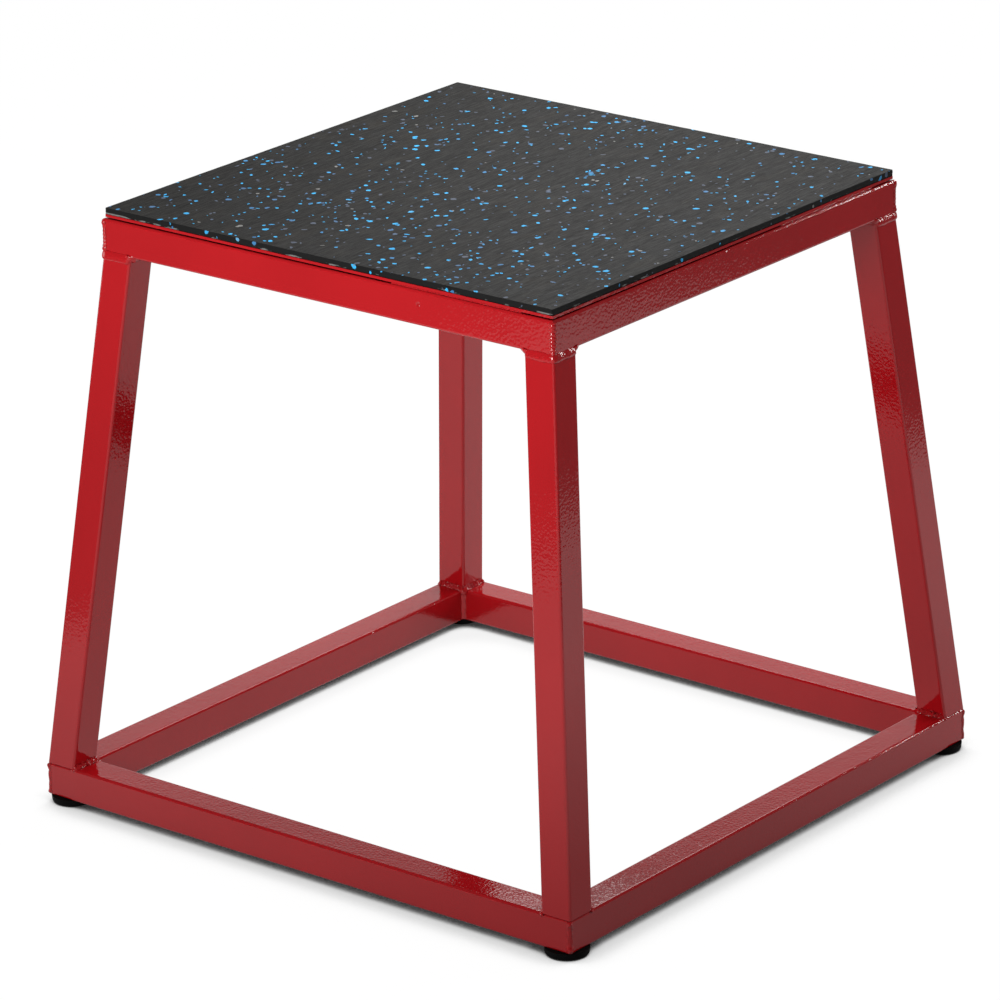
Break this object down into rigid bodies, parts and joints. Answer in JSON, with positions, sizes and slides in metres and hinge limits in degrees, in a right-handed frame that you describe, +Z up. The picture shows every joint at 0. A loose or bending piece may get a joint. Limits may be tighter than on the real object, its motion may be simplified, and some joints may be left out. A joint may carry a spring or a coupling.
{
  "type": "plyo box",
  "caption": "Square plyometric jump box: welded red steel tube frame with splayed legs, steel deck with a flecked rubber mat, and levelling feet.",
  "frame": {"origin": "on the floor under the middle of the box", "axes": "+Z up, +X to the right along the front, -Y towards the front"},
  "size_m": [0.4948, 0.4948, 0.4572],
  "materials": {
    "powder_coat": "glossy red powder coat over welded steel",
    "mat_rubber": "dark grey recycled rubber with blue flecks",
    "foot_rubber": "black moulded rubber",
    "zinc_plate": "bright zinc plated steel",
    "adhesive": "dried contact adhesive"
  },
  "bodies": {
    "frame": {"base_corner_weld_back_left": "powder_coat", "base_corner_weld_back_right": "powder_coat", "base_corner_weld_front_left": "powder_coat", "base_corner_weld_front_right": "powder_coat", "base_rail_back": "powder_coat", "base_rail_front": "powder_coat", "base_rail_left": "powder_coat", "base_rail_right": "powder_coat", "brace_welds": "powder_coat", "deck_brace": "powder_coat", "deck_corner_weld_back_left": "powder_coat", "deck_corner_weld_back_right": "powder_coat", "deck_corner_weld_front_left": "powder_coat", "deck_corner_weld_front_right": "powder_coat", "deck_plate": "powder_coat", "deck_rail_back": "powder_coat", "deck_rail_front": "powder_coat", "deck_rail_left": "powder_coat", "deck_rail_right": "powder_coat", "deck_tack_welds": "powder_coat", "foot_rivet_nuts": "zinc_plate", "leg_back_left": "powder_coat", "leg_back_right": "powder_coat", "leg_base_weld_back_left": "powder_coat", "leg_base_weld_back_right": "powder_coat", "leg_base_weld_front_left": "powder_coat", "leg_base_weld_front_right": "powder_coat", "leg_front_left": "powder_coat", "leg_front_right": "powder_coat", "leg_top_weld_back_left": "powder_coat", "leg_top_weld_back_right": "powder_coat", "leg_top_weld_front_left": "powder_coat", "leg_top_weld_front_right": "powder_coat", "mat_adhesive": "adhesive", "rubber_mat": "mat_rubber"},
    "front_left_foot": {"foot_pad_front_left": "foot_rubber", "foot_stud_front_left": "zinc_plate"},
    "front_right_foot": {"foot_pad_front_right": "foot_rubber", "foot_stud_front_right": "zinc_plate"},
    "back_right_foot": {"foot_pad_back_right": "foot_rubber", "foot_stud_back_right": "zinc_plate"},
    "back_left_foot": {"foot_pad_back_left": "foot_rubber", "foot_stud_back_left": "zinc_plate"}
  },
  "joints": [
    {"name": "front_left_foot_level", "type": "slide", "parent": "frame", "child": "front_left_foot", "axis": [0, 0, -1], "range_m": [0, 0.006]},
    {"name": "front_right_foot_level", "type": "slide", "parent": "frame", "child": "front_right_foot", "axis": [0, 0, -1], "range_m": [0, 0.006]},
    {"name": "back_right_foot_level", "type": "slide", "parent": "frame", "child": "back_right_foot", "axis": [0, 0, -1], "range_m": [0, 0.006]},
    {"name": "back_left_foot_level", "type": "slide", "parent": "frame", "child": "back_left_foot", "axis": [0, 0, -1], "range_m": [0, 0.006]}
  ]
}
